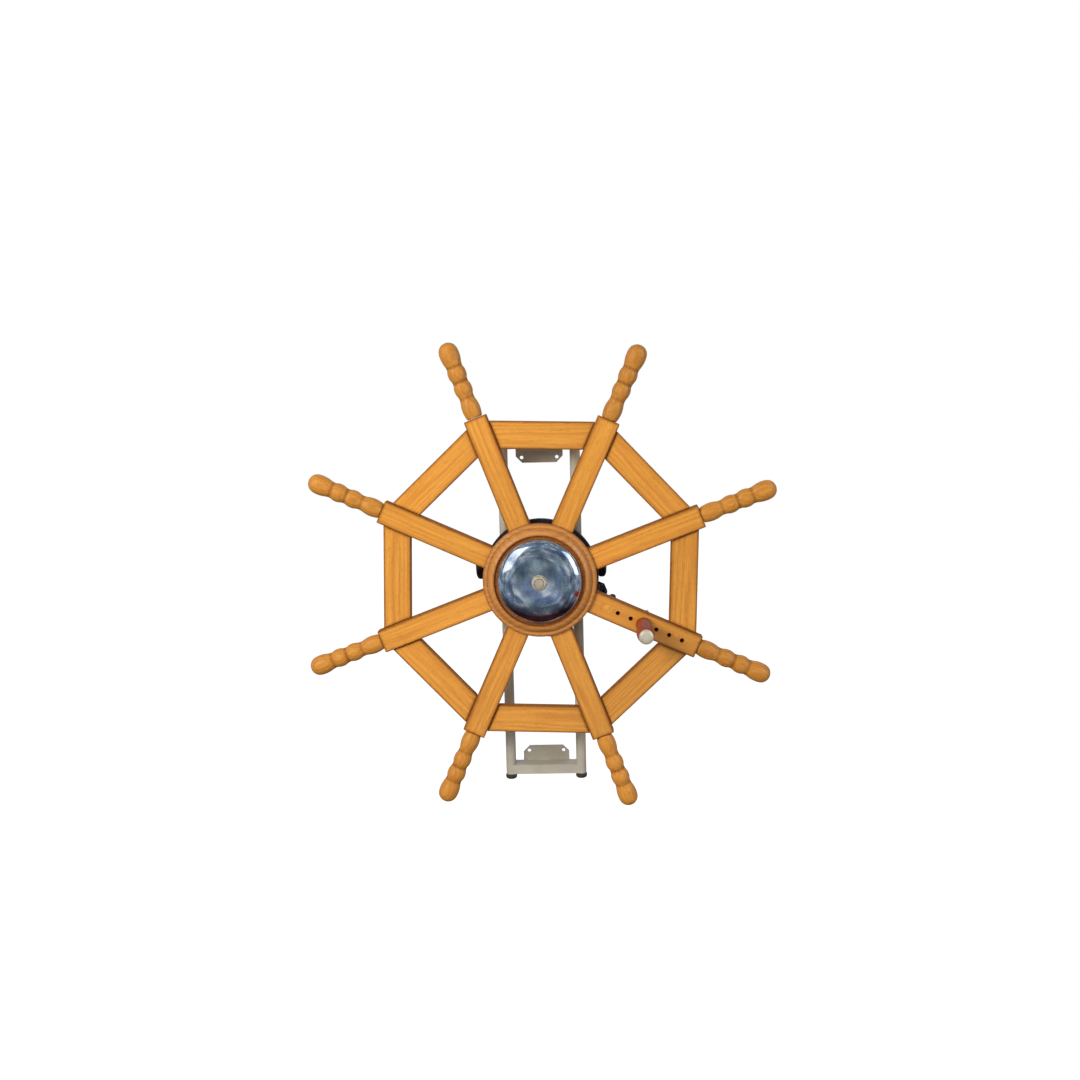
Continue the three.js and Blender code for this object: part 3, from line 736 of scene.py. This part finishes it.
def build_hub():
    low, high = reach("hub_front_ring", AHEAD)
    rim, back = high.z, low.x
    band = [(0, 0), (4.6, 0), (7.2, -1.2), (8.5, -4.2), (8.7, -7.4)]
    cove = [(8.6, -9.6), (9.9, -10.6), (12.8, -11.4), (15.8, -13.4)]
    cove += [(18.4, -16.4), (19.7, -19.2), (19.4, -21.4)]
    groove = rim - 8.6 * MM
    line = [(back, HUB_BORE)]
    line += [(back + x * MM, rim + r * MM) for x, r in curve(band, 5)]
    line += [(back + 7.8 * MM, groove)]
    line += [(back + x * MM, rim + r * MM) for x, r in curve(cove, 5)]
    # A channel runs round the dome, painted dark as shade.
    dome_rim = reach("hub_dome", AHEAD)[1].z
    bank = rim - 22 * MM
    floor = back + 14.6 * MM
    line += [(floor + 1.6 * MM, bank - 0.2 * MM), (floor, bank - 1.4 * MM), (floor, dome_rim + 0.8 * MM)]
    line += [(high.x, dome_rim - 0.6 * MM), (high.x, HUB_BORE)]
    # The ring is turned from a plank whose grain runs level.
    level = Matrix.Rotation(math.pi / 2, 4, "Z")
    work = turned(line, 128)
    # Painted shade lies in rings: on the outer edge, in the groove, on the bank and in the channel.
    painted_shade_bands = [(rim, 5 * MM, 0.55), (groove, 1.6 * MM, 0.35)]
    painted_shade_bands += [(bank, 4 * MM, 0.8), ((bank + dome_rim) / 2, 5 * MM, 1.2)]
    shade = work.verts.layers.float["shade"]
    for vertex in work.verts:
        out = math.hypot(vertex.co.y, vertex.co.z)
        vertex[shade] = max(dark * max(0, 1 - abs(out - place) / width) for place, width, dark in painted_shade_bands)
    settle("turned_hub_ring", "wheel", "hub_wood", ["hub_front_ring"], work, AHEAD, level)

    low, high = reach("hub_rear_disc", AHEAD)
    rim = high.z
    edge = [(0, -5), (0.6, -2.4), (2.4, -0.6), (5, 0)]
    line = [(low.x, HUB_BORE)]
    line += [(low.x + x * MM, rim + r * MM) for x, r in curve(edge, 4)]
    line += [(high.x - x * MM, rim + r * MM) for x, r in reversed(curve(edge, 4))]
    line += [(high.x, HUB_BORE)]
    settle("turned_rear_disc", "wheel", "beech", ["hub_rear_disc"], turned(line, 96), AHEAD, level)

    low, high = reach("brake_drum", AHEAD)
    rim, wall = high.z, 4 * MM
    lip = 1 * MM
    inner, fillet = rim - wall, 2 * MM
    line = [(high.x, HUB_BORE), (high.x, rim - lip), (high.x - lip, rim), (low.x + lip, rim)]
    line += [(low.x, rim - lip), (low.x, inner + lip), (low.x + lip, inner)]
    line += [(high.x - wall - fillet, inner), (high.x - wall, inner - fillet)]
    line += [(high.x - wall, HUB_BORE)]
    settle("brake_drum_cast", "wheel", "black_coat", ["brake_drum"], turned(line, 128), AHEAD)


def build_dome():
    low, high = reach("hub_dome", AHEAD)
    rim, tall = high.z, (high.x - low.x) / MM
    crown = [(2.6, -1.6), (5, -4.2), (7.7, -8.4), (10, -13.8)]
    crown += [(12.1, -21.5), (13.8, -32), (tall - 0.4, -48)]
    lip = [(0, -1.2), (0.3, -0.3), (1.2, 0), (2, -0.5), (2.1, -1.2)]
    bore = DOME_BORE
    rolled = [(low.x + x * MM, rim + r * MM) for x, r in curve(lip, 4)]
    bowl = [(low.x + x * MM, rim + r * MM) for x, r in curve(crown, 8)]
    wall = 1.2 * MM
    inner = [(x - wall, r - wall) for x, r in reversed(bowl)]
    line = [*rolled, *bowl, (high.x, bore), (high.x - wall, bore), *inner, (low.x, rim - 2.4 * MM)]
    settle("spun_dome", "wheel", "chrome", ["hub_dome"], turned(line, 160), AHEAD)

    low, high = reach("dome_nut", AHEAD)
    washer = 1.6 * MM
    flange = 14.4 * MM
    ring = [(low.x, bore), (low.x, flange), (low.x + washer, flange - 0.4 * MM), (low.x + washer, bore)]
    settle("dome_washer", "wheel", "zinc", ["dome_nut"], turned(ring, 64), AHEAD)
    start = low.x + washer + 0.1 * MM
    corner, flat = 13.6 * MM, 12 * MM
    ease = 0.9 * MM
    nut = [(start, bore), (start, corner - 0.8 * MM), (start + 0.8 * MM, corner)]
    nut += [(high.x - 2.4 * MM, corner), (high.x - 1 * MM, corner - 1.4 * MM)]
    nut += [(high.x, corner - 3.4 * MM), (high.x, bore + ease), (high.x - ease, bore)]
    settle("dome_hex_nut", "wheel", "zinc", ["dome_nut"], turned(nut, 72, hexagon(flat)), AHEAD)
    for name in ("spindle", "spindle_rear_nut", "hub_clamp_washer", "hub_clamp_nut"):
        refined(name, "wheel", "zinc")
    refined("hub_core", "wheel", "beech", settings("wheel_settings").board_round / 2)


# ---------------- the hand grip
def build_grip():
    axes = facing(Vector((AXIS.x + GRIP_PLACE.x, 0, AXIS.z + GRIP_PLACE.z)), (0, -1, 0))
    low, high = reach("hand_grip", axes)
    long = (high.x - low.x) / MM
    bore = BOLT_R + 0.4 * MM
    swell = [(0, 11), (1, 12.6), (5, 14.4), (9, 14.4), (15, 13.2), (24, 13.0), (42, 14.6), (64, 15.6)]
    swell += [(88, 15.9), (102, 15.3), (long - 5, 14.4), (long - 1.4, 13.7), (long, 12.6)]
    line = [(low.x, bore), *[(low.x + x * MM, r * MM) for x, r in curve(swell, 5)], (high.x, bore)]
    work = turned(line, 48, shade_grooves=True)
    settle("turned_hand_grip", "grip", "grip_wood", ["hand_grip"], work, axes)

    tip = reach("grip_bolt", axes)[0].x
    shank = BOLT_R
    gap, ease = 0.3 * MM, 0.5 * MM
    spoke_front = reach(f"spoke_{GRIP_SPOKE}", axes)[1].x
    head = [(0, 12.6), (0.6, 13), (4.2, 12.9), (6.4, 11.4), (8, 8), (8.8, 3.6), (9, 0)]
    flange = 11 * MM
    back, front = spoke_front + gap, low.x - gap
    line = [(tip, 0), (tip, shank - 0.8 * MM), (tip + 0.8 * MM, shank), (back, shank)]
    line += [(back, flange - ease), (back + ease, flange), (front - ease, flange)]
    line += [(front, flange - ease), (front, shank), (high.x + gap, shank)]
    line += [(high.x + gap + x * MM, r * MM) for x, r in curve(head, 5)]
    settle("grip_pivot_bolt", "wheel", "zinc", ["grip_bolt"], turned(line, 48), axes)
    refined("grip_wing_nut", "wheel", "zinc", 1 * MM)


# ---------------- the wall frame
def build_frame():
    for side in ("left", "right"):
        low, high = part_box(f"{side}_guide_tube")
        centre = (low + high) / 2
        upright = facing(Vector((centre.x, centre.y, 0)), (0, 0, 1))
        outer = (high.x - low.x) / 2
        inner = outer - TUBE_WALL
        ease = 0.4 * MM
        line = [(low.z, inner), (low.z, outer - ease), (low.z + ease, outer)]
        line += [(high.z - ease, outer), (high.z, outer - ease), (high.z, inner)]
        tube = turned(line, 48)
        settle(f"{side}_tube", "wall_frame", "frame_enamel", [f"{side}_guide_tube"], tube, upright)
        for end, way in (("upper", 1), ("lower", -1)):
            build_plug(f"{side}_{end}_plug", centre, way, inner - 0.4 * MM)
    for name in ("upper_wall_bracket", "lower_wall_bracket"):
        refined(name, "wall_frame", "frame_enamel", 0.9 * MM)
        low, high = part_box(name)
        bar = 18 * MM
        joint = high.z - bar if name.startswith("upper") else low.z + bar
        depth = high.y - 4.6 * MM
        half_bead = 0.288 * (high.x - low.x)
        ends = [Vector((way * half_bead, depth, joint)) for way in (-1, 1)]
        bead(f"{name}_weld", "wall_frame", "frame_enamel", name, *ends, 1.8 * MM)


def build_plug(name, centre, way, stem):
    """A domed cap on a tube's end, with a hidden stem of the given radius inside the tube."""
    low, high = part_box(name)
    long = 10
    start = high.z - long * MM if way > 0 else low.z + long * MM
    axes = facing(Vector((centre.x, centre.y, start)), (0, 0, way))
    brim = (high.x - low.x) / 2
    cap = [(0.3, -0.7), (1, -0.1), (3, 0), (6, -0.4), (8.2, -1.9), (9.5, -4.8), (long, -9)]
    line = [(-11 * MM, 0), (-11 * MM, stem), (0.3 * MM, stem)]
    line += [(x * MM, brim + r * MM) for x, r in curve(cap, 4)] + [(long * MM, 0)]
    settle(f"{name}_cap", "wall_frame", "polythene", [name], turned(line, 40), axes)


# ---------------- the carriage, locks and brake
def build_carriage():
    for name in ("carriage_plate", "left_sleeve", "right_sleeve", "bearing_housing", "brake_bracket"):
        refined(name, "carriage", "black_coat", 0.8 * MM)
    for name in ("rear_bush", "front_bush"):
        refined(name, "carriage", "bronze")
    refined("bump_stop", "carriage", "rubber", 1.5 * MM)
    for side, way in (("left", -1), ("right", 1)):
        low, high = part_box(f"{side}_sleeve")
        centre = middle(f"{side}_guide_tube")
        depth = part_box("carriage_plate")[1].y + 1.6 * MM
        bare = 14 * MM
        for edge, outward in (("inner", -1), ("outer", 1)):
            x = centre.x + way * outward * 7.2 * MM
            ends = [Vector((x, depth, z)) for z in (low.z + bare, high.z - bare)]
            name = f"{side}_sleeve_weld_{edge}"
            bead(name, "carriage", "black_coat", f"{side}_sleeve", *ends, 2 * MM)


def knob_profile(start, long, radius, taper):
    """A hand knob's side: a short neck, a full waist and a rounded, tapered end."""
    shape = [(0, 0.4), (0.02, 0.46), (0.1, 0.6), (0.22, 0.84), (0.42, 0.98), (0.62, 1)]
    shape += [(0.8, (1 + taper) / 2 + 0.06), (0.93, taper), (0.985, taper * 0.72)]
    shape += [(1, taper * 0.4), (1, 0)]
    line = curve([(start + x * long, r * radius) for x, r in shape], 5)
    return [(start, 0), *line]


def build_locks():
    for side, way in (("left", -1), ("right", 1)):
        place = middle(f"{side}_lock_knob")
        axes = facing(Vector((0, place.y, place.z)), (way, 0, 0))
        low, high = reach(f"{side}_lock_knob", axes)
        body = f"{side}_knob"
        radius = (high.z - low.z) / 2
        start = high.x - 22 * MM
        profile = knob_profile(start, high.x - start, radius, 0.8)
        work = turned(profile, 96, lobes(4, radius, 0.2))
        settle(f"{side}_lobed_knob", body, "phenolic", [f"{side}_lock_knob"], work, axes)
        collar = 8 * MM
        insert = [(start - 4 * MM, 0), (start - 4 * MM, collar - 0.6 * MM), (start - 3.4 * MM, collar)]
        insert += [(start + 1 * MM, collar), (start + 1 * MM, 0)]
        nodes = [f"{side}_lock_knob"]
        settle(f"{side}_knob_insert", body, "zinc", nodes, turned(insert, 40), axes)
        screw = threaded(low.x, start - 4.1 * MM, SCREW_R, LOCK_PITCH)
        settle(f"{side}_clamp_screw", body, "zinc", nodes, turned(screw, 32), axes)
        refined(f"{side}_lock_pad", f"{side}_pad", "bronze", 0.4 * MM)


def build_brake():
    place = middle("brake_knob")
    outward = Vector((place.x - AXIS.x, 0, place.z - AXIS.z))
    axes = facing(Vector((AXIS.x, place.y, AXIS.z)), outward)
    low, high = reach("brake_knob", axes)
    start = high.x - 18 * MM
    radius = high.y
    nodes = ["brake_knob"]
    work = turned(knob_profile(start, high.x - start, radius, 0.66), 100, lobes(5, radius, 0.09))
    settle("brake_hand_knob", "brake_knob", "blue_nylon", nodes, work, axes)
    screw = threaded(low.x, start - 0.1 * MM, SCREW_R, BRAKE_PITCH)
    settle("brake_screw", "brake_knob", "zinc", nodes, turned(screw, 32), axes)
    refined("brake_shoe", "brake_shoe", "black_coat")
    refined("brake_lining", "brake_shoe", "lining", 0.4 * MM)


# ---------------- the stage
def area_light(name, offset, size, power, colour, mirrored=True):
    """A soft box aimed at the wheel. One that isn't mirrored doesn't show in the chrome."""
    target = Vector((AXIS.x, -0.12, AXIS.z))
    place = target + Vector(offset)
    light = bpy.data.lights.new(name, "AREA")
    light.shape = "RECTANGLE"
    light.size, light.size_y = size
    light.energy = power
    light.color = linear(colour)[:3]
    lamp = placed(name, light)
    lamp.location = place
    lamp.rotation_euler = (target - place).to_track_quat("-Z", "Y").to_euler()
    lamp.visible_glossy = mirrored


def build_floor(drop):
    work = bmesh.new()
    half = 12.0
    corners = [(-half, -half), (half, -half), (half, half), (-half, half)]
    work.faces.new([work.verts.new((x, y, AXIS.z - drop)) for x, y in corners])
    mesh = mesh_of("floor", work)
    # A pale matt studio floor, nearly as light as the air behind it.
    paint = blank(
        "pale_studio_floor",
        Base_Color=linear("#f2f2f2"),
        Emission_Color=linear("#ffffff"),
        Emission_Strength=0.85,
        Roughness=0.9,
        Specular_IOR_Level=0.1,
    )[0]
    mesh.materials.append(paint)
    floor = placed("floor", mesh)
    floor.visible_glossy = False
    floor.visible_diffuse = False


def room_colour(tree, way):
    """What polished metal sees: a dim blue-grey room in soft patches, red-brown towards its floor."""

    def patches(offset, scale, low, high):
        moved = node(tree, "ShaderNodeVectorMath", {"operation": "ADD"}, {1: offset}, {0: way})
        return rescaled(tree, noise(tree, moved.outputs[0], scale, 1.0)[0], low, high)

    room = mixed(tree, linear("#58666e"), linear("#9aaab0"), patches((0, 0, 0), 6, 0.4, 0.6))
    room = mixed(tree, room, linear("#6884b4"), patches((3, 1, 7), 7, 0.52, 0.64))
    room = mixed(tree, room, linear("#d4dade"), patches((5, 2, 1), 8, 0.56, 0.66))
    height = node(tree, "ShaderNodeSeparateXYZ", {}, {}, {0: way}).outputs["Z"]
    return mixed(tree, room, linear("#3c1f24"), rescaled(tree, height, -0.3, -0.75))


def build_world():
    """Air that looks white and lights softly, with a dim room in it for polished metal to show."""
    world = bpy.data.worlds.new("studio air")
    bpy.context.scene.world = world
    world.use_nodes = True
    tree = world.node_tree
    tree.nodes.clear()
    way = node(tree, "ShaderNodeTexCoord").outputs["Generated"]
    rays = node(tree, "ShaderNodeLightPath").outputs
    seen = mixed(tree, linear("#858587"), room_colour(tree, way), rays["Is Glossy Ray"])
    shown = mixed(tree, seen, linear("#ffffff"), rays["Is Camera Ray"])
    air = node(tree, "ShaderNodeBackground", {}, {}, {"Color": shown})
    node(tree, "ShaderNodeOutputWorld", {}, {}, {"Surface": air.outputs[0]})


def build_camera():
    stage = settings("stage_settings")
    centre = Vector((AXIS.x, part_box("spoke_1")[0].y, AXIS.z))
    back = Vector(
        (
            math.sin(stage.azimuth) * math.cos(stage.elevation),
            -math.cos(stage.azimuth) * math.cos(stage.elevation),
            math.sin(stage.elevation),
        )
    )
    lens = bpy.data.cameras.new("camera")
    lens.lens = 45.9
    lens.sensor_width = 36
    lens.shift_y = 0.037  # the wheel hangs a little below the middle of the view
    camera = placed("camera", lens)
    camera.location = centre + back * stage.distance
    look = (-back).to_track_quat("-Z", "Y").to_matrix().to_4x4()
    camera.rotation_euler = (look @ Matrix.Rotation(stage.roll, 4, "Z")).to_euler()
    bpy.context.scene.camera = camera


def build_stage():
    build_floor(settings("stage_settings").floor_drop)
    build_world()
    area_light("key", (-1.1, -2.1, 0.95), (0.8, 0.8), 38, "#fff6ea", False)
    area_light("low fill", (0.4, -1.6, -1.3), (2.2, 1.2), 7, "#fff0de", False)
    area_light("left box", (-1.75, -1.7, 1.2), (1.9, 2.1), 17, "#ffffff")
    area_light("right box", (2.0, -1.1, 0.9), (1.3, 1.8), 13, "#ffffff")
    area_light("back", (0.6, 1.9, 1.2), (1.6, 1.2), 16, "#ffffff", False)
    build_camera()
    bpy.context.scene.view_settings.view_transform = "Standard"


# ---------------- operators and panel
class SHIP_WHEEL_OT_finishes(bpy.types.Operator):
    """Makes the woods, metals and plastics"""

    bl_idname = "ship_wheel.finishes"
    bl_label = "Finishes"

    def execute(self, context):
        make_finishes()
        return {"FINISHED"}


class SHIP_WHEEL_OT_spokes(bpy.types.Operator):
    """Lays the eight spoke boards and drills the grip's spoke"""

    bl_idname = "ship_wheel.spokes"
    bl_label = "Spokes"

    def execute(self, context):
        build_spokes()
        return {"FINISHED"}


class SHIP_WHEEL_OT_rim(bpy.types.Operator):
    """Fits the eight straight rim boards between the spokes"""

    bl_idname = "ship_wheel.rim"
    bl_label = "Rim boards"

    def execute(self, context):
        build_rim()
        return {"FINISHED"}


class SHIP_WHEEL_OT_handles(bpy.types.Operator):
    """Turns the eight handles on the spoke ends"""

    bl_idname = "ship_wheel.handles"
    bl_label = "Handles"

    def execute(self, context):
        build_handles()
        return {"FINISHED"}


class SHIP_WHEEL_OT_hub(bpy.types.Operator):
    """Turns the hub ring, rear disc and brake drum"""

    bl_idname = "ship_wheel.hub"
    bl_label = "Hub"

    def execute(self, context):
        build_hub()
        return {"FINISHED"}


class SHIP_WHEEL_OT_dome(bpy.types.Operator):
    """Spins the chrome dome and fits its nut and the spindle"""

    bl_idname = "ship_wheel.dome"
    bl_label = "Dome"

    def execute(self, context):
        build_dome()
        return {"FINISHED"}


class SHIP_WHEEL_OT_grip(bpy.types.Operator):
    """Turns the hand grip and its bolt"""

    bl_idname = "ship_wheel.grip"
    bl_label = "Hand grip"

    def execute(self, context):
        build_grip()
        return {"FINISHED"}


class SHIP_WHEEL_OT_wall_frame(bpy.types.Operator):
    """Makes the tubes, end caps and wall brackets"""

    bl_idname = "ship_wheel.wall_frame"
    bl_label = "Wall frame"

    def execute(self, context):
        build_frame()
        return {"FINISHED"}


class SHIP_WHEEL_OT_carriage(bpy.types.Operator):
    """Makes the carriage, its sleeves, bearing and bump stop"""

    bl_idname = "ship_wheel.carriage"
    bl_label = "Carriage"

    def execute(self, context):
        build_carriage()
        return {"FINISHED"}


class SHIP_WHEEL_OT_locks(bpy.types.Operator):
    """Moulds the lock knobs and cuts their screws"""

    bl_idname = "ship_wheel.locks"
    bl_label = "Height locks"

    def execute(self, context):
        build_locks()
        return {"FINISHED"}


class SHIP_WHEEL_OT_brake(bpy.types.Operator):
    """Makes the brake knob, screw, shoe and lining"""

    bl_idname = "ship_wheel.brake"
    bl_label = "Brake"

    def execute(self, context):
        build_brake()
        return {"FINISHED"}


class SHIP_WHEEL_OT_stage(bpy.types.Operator):
    """Sets the floor, lights, air and camera"""

    bl_idname = "ship_wheel.stage"
    bl_label = "Stage"

    def execute(self, context):
        build_stage()
        return {"FINISHED"}


OPERATORS = [
    SHIP_WHEEL_OT_finishes,
    SHIP_WHEEL_OT_spokes,
    SHIP_WHEEL_OT_rim,
    SHIP_WHEEL_OT_handles,
    SHIP_WHEEL_OT_hub,
    SHIP_WHEEL_OT_dome,
    SHIP_WHEEL_OT_grip,
    SHIP_WHEEL_OT_wall_frame,
    SHIP_WHEEL_OT_carriage,
    SHIP_WHEEL_OT_locks,
    SHIP_WHEEL_OT_brake,
    SHIP_WHEEL_OT_stage,
]


class SHIP_WHEEL_PT_panel(bpy.types.Panel):
    """Lists the wheel's settings and build steps"""

    bl_idname = "SHIP_WHEEL_PT_panel"
    bl_label = "Ship's Wheel"
    bl_space_type = "VIEW_3D"
    bl_region_type = "UI"
    bl_category = "Ship's Wheel"

    def draw(self, context):
        for group in SETTINGS:
            box = self.layout.box()
            for name in SETTINGS[group].__annotations__:
                box.prop(settings(group), name)
        for operator in OPERATORS:
            self.layout.operator(operator.bl_idname)


SETTINGS = {
    "wheel_settings": WheelSettings,
    "metal_settings": MetalSettings,
    "stage_settings": StageSettings,
}
CLASSES = [*SETTINGS.values(), *OPERATORS, SHIP_WHEEL_PT_panel]


def register():
    for kind in CLASSES:
        bpy.utils.register_class(kind)
    for name, kind in SETTINGS.items():
        setattr(bpy.types.Scene, name, bpy.props.PointerProperty(type=kind))


def unregister():
    for name in SETTINGS:
        delattr(bpy.types.Scene, name)
    for kind in reversed(CLASSES):
        bpy.utils.unregister_class(kind)


def main():
    register()
    bpy.ops.ship_wheel.finishes()
    bpy.ops.ship_wheel.spokes()
    bpy.ops.ship_wheel.rim()
    bpy.ops.ship_wheel.handles()
    bpy.ops.ship_wheel.hub()
    bpy.ops.ship_wheel.dome()
    bpy.ops.ship_wheel.grip()
    bpy.ops.ship_wheel.wall_frame()
    bpy.ops.ship_wheel.carriage()
    bpy.ops.ship_wheel.locks()
    bpy.ops.ship_wheel.brake()
    bpy.ops.ship_wheel.stage()


if __name__ == "__main__":
    main()
